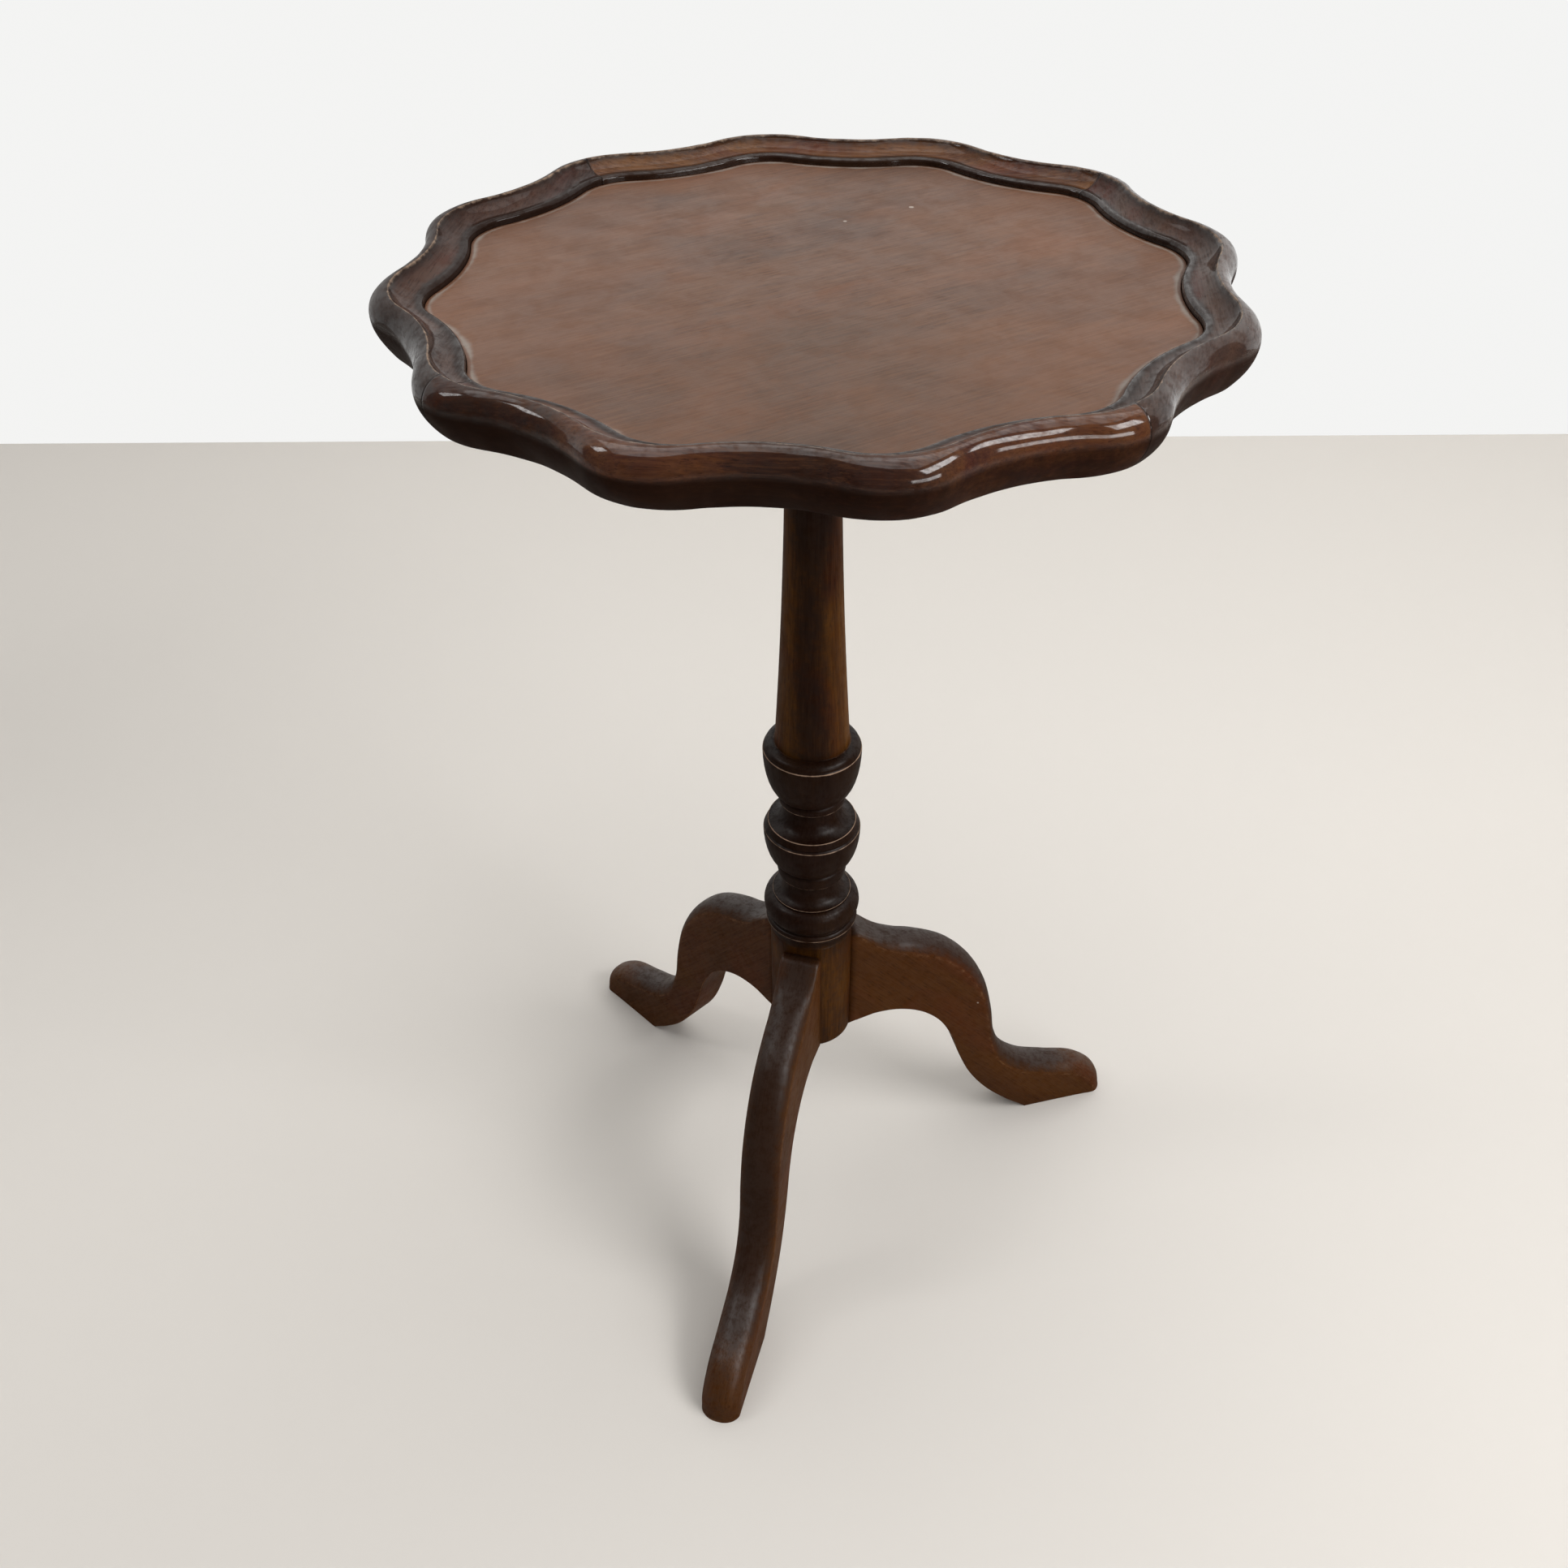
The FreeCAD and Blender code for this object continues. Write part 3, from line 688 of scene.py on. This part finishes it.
class Scallop:
    """Closed outline of tangent arcs, with lobes of one radius and hollows of another."""

    def __init__(self, peak, valley, round_share):
        cosine = math.cos(lobe_half)
        hollow_share = 1 - round_share
        square = 2 * round_share * hollow_share * (1 - cosine)
        hollow_part = hollow_share * (valley - cosine * peak)
        lobe_part = round_share * (peak - cosine * valley)
        linear = 2 * (hollow_part - lobe_part)
        constant = peak**2 + valley**2 - 2 * cosine * peak * valley
        both = (linear + math.sqrt(linear**2 + 4 * square * constant)) / (2 * square)
        self.lobe_radius = round_share * both
        self.hollow_radius = hollow_share * both
        self.lobe_centre = peak - self.lobe_radius
        self.hollow_centre = valley + self.hollow_radius
        across = self.hollow_centre * math.sin(lobe_half)
        self.half_span = math.atan2(across, self.hollow_centre * cosine - self.lobe_centre)

    def reach(self, angle, inset):
        """Distance from the column's axis of the outline moved in by the inset."""
        lobe_radius = self.lobe_radius - inset
        past_peak = abs((angle - first_joint + lobe_half) % (2 * lobe_half) - lobe_half)
        join_across = lobe_radius * math.sin(self.half_span)
        join_out = self.lobe_centre + lobe_radius * math.cos(self.half_span)
        if past_peak < math.atan2(join_across, join_out):
            offset = self.lobe_centre * math.sin(past_peak)
            return self.lobe_centre * math.cos(past_peak) + math.sqrt(lobe_radius**2 - offset**2)
        hollow_radius = self.hollow_radius + inset
        to_valley = lobe_half - past_peak
        offset = self.hollow_centre * math.sin(to_valley)
        return self.hollow_centre * math.cos(to_valley) - math.sqrt(hollow_radius**2 - offset**2)


crest_peak = crest_radius + lobe_depth / 2
crest_valley = crest_radius - lobe_depth / 2
crest_line = Scallop(crest_peak, crest_valley, crest_round_share)
edge_line = Scallop(crest_peak + roll_width, crest_valley + hollow_roll_width, edge_round_share)

# The moulding is first spun with its inner face, bead wall, crest and outer edge at a reach of
# one, two, three and four, and each point is then drawn out to the scalloped line it belongs to.
inner_line, wall_line, crest_place, edge_place = 1.0, 2.0, 3.0, 4.0
bead_share = wall_line + bead_width / wall_inset
moulding = [(crest_place, table_height)]
moulding += quarter(moulding[-1], (edge_place, table_height - roll_drop), True, roll_steps)
under_middle = (edge_place, (table_height - roll_drop + rim_bottom) / 2)
under_spot = (edge_place - under_tuck / roll_width, rim_bottom)
moulding += bow(moulding[-1], under_middle, under_spot, under_steps)
moulding += [(inner_line, rim_bottom), (inner_line, panel_bottom), (wall_line, panel_bottom)]
moulding += [(wall_line, panel_top + quirk_depth)]
moulding += quarter(moulding[-1], (bead_share, table_height - cove_drop), False, bead_steps)
cove_middle = (
    (bead_share + crest_place) / 2 + cove_hollow / wall_inset,
    table_height - cove_drop / 2 - 2 * cove_hollow * cove_lean,
)
moulding += bow(moulding[-1], cove_middle, (crest_place, table_height), cove_steps)[:-1]

for number, name in enumerate(("back", "left", "front", "right")):
    begin_turn = first_joint + number * math.pi / 2
    rim_mesh = bmesh.new()
    ring = [rim_mesh.verts.new((place, 0, height)) for place, height in moulding]
    loop = [rim_mesh.edges.new(pair) for pair in zip(ring, ring[1:] + ring[:1])]
    bmesh.ops.rotate(rim_mesh, verts=ring, cent=(0, 0, 0), matrix=Matrix.Rotation(begin_turn, 3, "Z"))
    swept = bmesh.ops.spin(
        rim_mesh, geom=ring + loop, cent=(0, 0, 0), axis=(0, 0, 1), angle=math.pi / 2,
        steps=3 * lobe_steps,
    )
    last_ring = [part for part in swept["geom_last"] if isinstance(part, bmesh.types.BMEdge)]
    bmesh.ops.edgeloop_fill(rim_mesh, edges=loop + last_ring)
    for vert in rim_mesh.verts:
        turn = math.atan2(vert.co.y, vert.co.x)
        place = vert.co.xy.length
        lines = {
            1: crest_line.reach(turn, wall_inset + ledge_width),
            2: crest_line.reach(turn, wall_inset),
            3: crest_line.reach(turn, 0.0),
            4: edge_line.reach(turn, 0.0),
        }
        low = min(3, max(1, math.floor(place + 1e-6)))
        reach = lines[low] + (lines[low + 1] - lines[low]) * (place - low)
        vert.co.xy = vert.co.xy.normalized() * reach
        if vert.co.z > rim_bottom and place > bead_share:
            vert.co.xy *= 1 + hand_wave / crest_radius * noise.noise(vert.co / hand_wave_length)
            vert.co.z -= hand_wave * abs(noise.noise(vert.co / hand_wave_length + hand_wave_shift))
    for end_turn, way in ((begin_turn, 1), (begin_turn + math.pi / 2, -1)):
        cut_turn = end_turn + way * joint_line / crest_radius
        bmesh.ops.bisect_plane(
            rim_mesh, geom=rim_mesh.verts[:] + rim_mesh.edges[:] + rim_mesh.faces[:],
            plane_co=(0, 0, 0), plane_no=(-math.sin(cut_turn), math.cos(cut_turn), 0),
        )
    bmesh.ops.recalc_face_normals(rim_mesh, faces=rim_mesh.faces)
    soften(rim_mesh, rim_ease, 0.6, 2)
    wear_and_highlight, grime_and_shade, patina_and_shade, matt = weathered(rim_mesh, 0.5)
    for vert in rim_mesh.verts:
        around = math.atan2(vert.co.y, vert.co.x)
        turn = (around - begin_turn + math.pi / 4) % math.tau - math.pi / 4
        from_end = min(abs(turn), abs(turn - math.pi / 2)) * crest_radius
        past_crest = vert.co.xy.length - crest_line.reach(around, 0.0)
        under_roll = min(1.0, max(0.0, (roll_shade_top - vert.co.z) / roll_shade_height))
        down_cove = min(1.0, max(0.0, -past_crest / cove_width))
        dulled = side_dullness * max(0.0, math.cos(around - dull_side)) ** 2
        darkened = max(0.0, math.cos(around - darkened_side)) ** 2
        past_honey = abs((around - honey_side + math.pi) % math.tau - math.pi)
        honey = math.cos(math.pi / 2 * min(1.0, past_honey / honey_half)) * (1 - under_roll)
        if from_end < joint_line / 2:
            vert[grime_and_shade] = joint_grime
        if past_crest > 0:
            vert[matt] = max(dulled, under_roll)
        elif down_cove == 1.0:
            vert[matt] = max(dulled, bead_dullness)
        else:
            vert[matt] = max(dulled, cove_dullness * min(1.0, 10 * down_cove))
        if past_crest > 0.5 * mm:
            # The roll is darker on its under face with painted shade, and darker towards the
            # front-left.
            vert[patina_and_shade] = roll_stain + roll_shade_and_darkening * (under_roll + darkened)
            vert[patina_and_shade] -= honey_strength * honey
        else:
            # The cove is darker with painted shade towards the bead and towards the crest.
            vert[patina_and_shade] = cove_stain + cove_edge_shade * (2 * down_cove - 1) ** 2
        from_crest = abs(past_crest) / crest_worn_width
        vert[wear_and_highlight] = crest_wear * max(0.0, 1 - from_crest) if from_end > joint_line else 0.0
    grain = Matrix.Rotation(-(begin_turn + math.pi / 4 + math.pi / 2), 3, "Z")
    finish = {**rim_finish, **rim_tones[name]}
    rim_wood = Mahogany("rim_mahogany_" + name, grain, (0.7 * number, 0.31 * number, 0.2), finish)
    piece("piecrust_rim_" + name, rim_mesh, rim_wood.material, "rim_wood", "rim_segment_" + name)

# Panel: one flat mahogany board with a scalloped edge, let into the rim on a ledge. It is a lighter
# brown than the rest, waxed to a satin sheen, with old wax and dust along its edge, a painted
# shadow where it meets the rim, and painted shade towards the front.
panel_gap = 0.2 * mm
panel_ease = 0.2 * mm
middle_radius = 45.0 * mm
front_side = math.radians(-75)
shadowed_side = math.radians(35)
ruddy_side = math.radians(15)
even_edge_shadow, side_edge_shadow = 0.55, 0.45
even_blush, side_blush = 0.35, 0.65
panel_front_shade = 0.5
panel_rings = (
    {"height": panel_bottom, "inset": 0.0, "inward": 0.0, "dust": 0.0, "grime_and_shade": 1.0, "blush": 1.0},
    {"height": panel_top, "inset": 0.0, "inward": 0.0, "dust": 0.0, "grime_and_shade": 1.0, "blush": 1.0},
    {"height": panel_top, "inset": 0.8 * mm, "inward": 0.0, "dust": 0.5, "grime_and_shade": 0.9, "blush": 1.0},
    {"height": panel_top, "inset": 1.6 * mm, "inward": 0.0, "dust": 1.0, "grime_and_shade": 0.1, "blush": 1.0},
    {"height": panel_top, "inset": 3.0 * mm, "inward": 0.0, "dust": 0.5, "grime_and_shade": 0.0, "blush": 1.0},
    {"height": panel_top, "inset": 5.0 * mm, "inward": 0.0, "dust": 0.0, "grime_and_shade": 0.0, "blush": 0.9},
    {"height": panel_top, "inset": 5.0 * mm, "inward": 0.35, "dust": 0.0, "grime_and_shade": 0.0, "blush": 0.9},
    {"height": panel_top, "inset": 5.0 * mm, "inward": 1.0, "dust": 0.0, "grime_and_shade": 0.0, "blush": 0.35},
)
panel_middle = {"dust": 0.0, "grime_and_shade": 0.0, "blush": 0.0}
panel_steps = 12 * lobe_steps
panel_outlines = []
for ring in panel_rings:
    outline = []
    for step in range(panel_steps):
        turn = first_joint + math.tau * step / panel_steps
        reach = crest_line.reach(turn, wall_inset + panel_gap + ring["inset"])
        reach += (middle_radius - reach) * ring["inward"]
        outline.append((reach * math.cos(turn), reach * math.sin(turn), ring["height"]))
    panel_outlines.append(outline)
panel_outlines.append([(0.0, 0.0, panel_top)] * panel_steps)
panel_mesh = bmesh.new()
dust, grime_and_shade, blush, patina_and_shade = (
    panel_mesh.verts.layers.float.new(mark) for mark in ("dust", "grime_and_shade", "blush", "patina_and_shade")
)
skin(panel_mesh, panel_outlines)
for number, vert in enumerate(panel_mesh.verts):
    ring = (*panel_rings, panel_middle)[number // (panel_steps + 1)]
    turn = math.atan2(vert.co.y, vert.co.x)
    vert[dust] = ring["dust"]
    # Painted shadow along the edge where the panel meets the rim, darkest towards the right-back.
    vert[grime_and_shade] = ring["grime_and_shade"] * (even_edge_shadow + side_edge_shadow * math.cos(turn - shadowed_side))
    vert[blush] = ring["blush"] * (even_blush + side_blush * abs(math.cos(turn - ruddy_side)))
    # Painted shade, darker towards the front of the panel.
    vert[patina_and_shade] = panel_front_shade * max(0.0, math.cos(turn - front_side))
seal(panel_mesh)
soften(panel_mesh, panel_ease, 1.0, 2)
panel_finish = {
    "brown": (0.113, 0.056, 0.0335, 1.0), "warm": (0.145, 0.073, 0.042, 1.0),
    "red": (0.145, 0.06, 0.031, 1.0), "dark": (0.07, 0.0395, 0.0285, 1.0),
    "patina_and_shade_tone": (0.07, 0.04, 0.026, 1.0), "wear_and_highlight_tone": (0.4, 0.33, 0.28, 1.0),
    "figure": 0.4, "streak": 0.62, "mottle": 0.75,
    "rough": 0.36, "polish": 0.12, "coat_rough": 0.28, "sheen": 0.18,
}
ruddy_tint = (0.185, 0.075, 0.034, 1.0)
dust_tint = (0.28, 0.26, 0.23, 1.0)
fleck_tint = (0.5, 0.44, 0.38, 1.0)
panel_wood = Mahogany("panel_mahogany", board_grain, (0.0, 0.0, 0.0), panel_finish)
small_clouds = panel_wood.wood.noise(14 * mm, 4.0, 0.6)
large_clouds = panel_wood.wood.noise(30 * mm, 4.0, 0.5)
dusty = (panel_wood.mark("dust") + 1.6 * small_clouds - 1.0).between(0.2, 1.0)
ruddy = (panel_wood.mark("blush") + 1.4 * large_clouds - 0.8).between(0.0, 0.9)
flecks = panel_wood.flecks(34 * mm, 1.0 * mm, 1.0) + panel_wood.flecks(30 * mm, 0.5 * mm, 14.0)
panel_tone = panel_wood.tone.tint(ruddy_tint, ruddy * 0.36)
panel_tone = panel_tone.tint(dust_tint, dusty * 0.6).tint(fleck_tint, flecks * 0.6)
panel_wood.feed("Base Color", panel_tone)
piece("top_board", panel_mesh, panel_wood.material, "panel_wood", "top_panel")

# Floor and wall: a plain pale floor that takes the table's shadow, with a plain white wall behind.
# The wall shows evenly bright to the camera and in reflections, and is dull paint to other light.
wall_heading = math.radians(15.6)
wall_distance = 0.895
wall_brightness = 0.97
wall_paint = (0.93, 0.93, 0.92, 1.0)
floor_paint = (0.69, 0.655, 0.61, 1.0)
paint_rough = 0.85
stage_size = 6.0
wall_place = Matrix.Rotation(wall_heading, 4, "Z") @ Matrix.Translation((0, wall_distance, 0))
wall_place = wall_place @ Matrix.Rotation(math.radians(90), 4, "X")


def plain(name, colour, brightness):
    """Dull paint, shown at a set brightness to the camera and in reflections if one is given."""
    material = bpy.data.materials.new(name)
    material.use_nodes = True
    tree = material.node_tree
    shader = tree.nodes["Principled BSDF"]
    shader.inputs["Base Color"].default_value = colour
    shader.inputs["Roughness"].default_value = paint_rough
    if brightness:
        start = Tone(tree, None)
        camera_ray = start.node("ShaderNodeLightPath", {}, {}, "Is Camera Ray")
        glossy_ray = start.node("ShaderNodeLightPath", {}, {}, "Is Glossy Ray")
        clear_ray = start.node("ShaderNodeLightPath", {}, {}, "Is Transmission Ray")
        seen = camera_ray + glossy_ray + clear_ray
        lit = Tone(tree, shader.outputs[0])
        glow = start.node("ShaderNodeEmission", {}, {"Color": colour, "Strength": brightness})
        mixed = start.node("ShaderNodeMixShader", {}, {0: seen, 1: lit, 2: glow})
        tree.links.new(mixed.socket, tree.nodes["Material Output"].inputs["Surface"])
    return material


for name, turn, colour, brightness in (
    ("floor", Matrix.Identity(4), floor_paint, 0.0),
    ("wall", wall_place, wall_paint, wall_brightness),
):
    stage_mesh = bmesh.new()
    bmesh.ops.create_grid(stage_mesh, x_segments=1, y_segments=1, size=stage_size, matrix=turn)
    mesh = bpy.data.meshes.new(name)
    stage_mesh.to_mesh(mesh)
    stage_mesh.free()
    mesh.materials.append(plain(name + "_paint", colour, brightness))
    stage = bpy.data.objects.new(name, mesh)
    bpy.context.scene.collection.objects.link(stage)

# Light: a large soft ceiling light, two windows on the right that draw the pair of highlights along
# the front of the rim, a small one far off on the left, and an even white surround.
light_aim = Vector((0, 0, 0.45))
surround_level = 0.18
world = bpy.data.worlds.new("surround")
bpy.context.scene.world = world
world.use_nodes = True
world.node_tree.nodes["Background"].inputs["Color"].default_value = (1.0, 1.0, 1.0, 1.0)
world.node_tree.nodes["Background"].inputs["Strength"].default_value = surround_level
for name, spot, size, watts in (
    ("ceiling", (0.0, 0.2, 2.2), (2.6, 2.2), 30.0),
    ("window", (1.4, -0.35, 1.5), (1.05, 0.5), 18.0),
    ("low_window", (1.3, -0.85, 0.72), (1.0, 0.26), 6.0),
    ("far_window", (-1.3, -0.45, 1.6), (0.25, 0.5), 3.5),
):
    lamp = bpy.data.lights.new(name, "AREA")
    lamp.shape = "RECTANGLE"
    lamp.size, lamp.size_y = size
    lamp.energy = watts
    hung = bpy.data.objects.new(name, lamp)
    hung.location = spot
    hung.rotation_euler = (light_aim - Vector(spot)).to_track_quat("-Z", "Y").to_euler()
    bpy.context.scene.collection.objects.link(hung)

# Camera: stands a little above the table and to the right of its front leg, as in the photograph.
camera_spot = (0.1402, -0.5299, 0.723)
camera_heading = math.radians(16.21)
camera_tilt = math.radians(50.43)
camera_roll = math.radians(-0.64)
camera = bpy.data.objects.new("camera", bpy.data.cameras.new("camera"))
camera.data.sensor_width = 36.0
camera.data.lens = 34.43
camera_turn = Matrix.Rotation(camera_heading, 4, "Z") @ Matrix.Rotation(camera_tilt, 4, "X")
camera_turn = camera_turn @ Matrix.Rotation(camera_roll, 4, "Z")
camera.matrix_world = Matrix.Translation(camera_spot) @ camera_turn
bpy.context.scene.collection.objects.link(camera)
bpy.context.scene.camera = camera
bpy.context.scene.view_settings.view_transform = "Standard"
